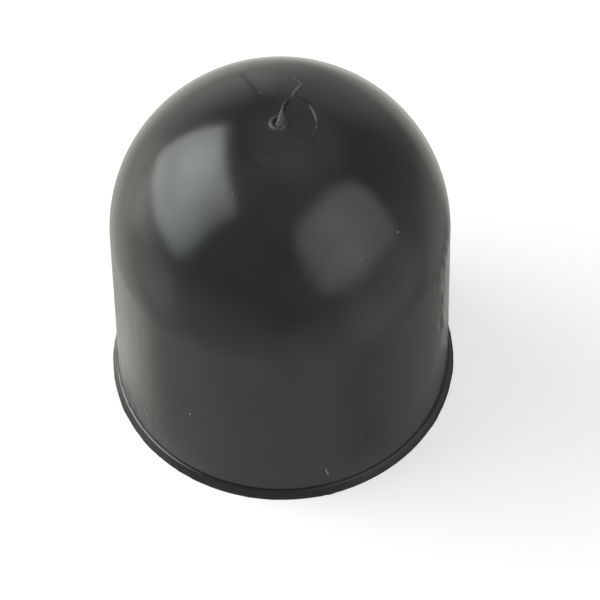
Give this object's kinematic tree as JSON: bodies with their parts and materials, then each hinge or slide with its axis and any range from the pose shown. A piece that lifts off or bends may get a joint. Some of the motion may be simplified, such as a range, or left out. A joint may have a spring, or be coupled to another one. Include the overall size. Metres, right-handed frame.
{
  "type": "tow ball cover",
  "caption": "Round-topped cap of black plastic that pushes over a tow ball to keep its grease in and the weather out.",
  "frame": {"origin": "middle of the mouth, on the plane of the rim that the cap stands on", "axes": "+Z along the cap's axis, from the mouth to the top of the dome; the torn gate nub leans towards +Y"},
  "size_m": [0.0574, 0.0574, 0.0665],
  "materials": {
    "black_plastic": "semi-gloss as moulded, near black"
  },
  "bodies": {
    "root": {"cover": "black_plastic"}
  },
  "joints": []
}
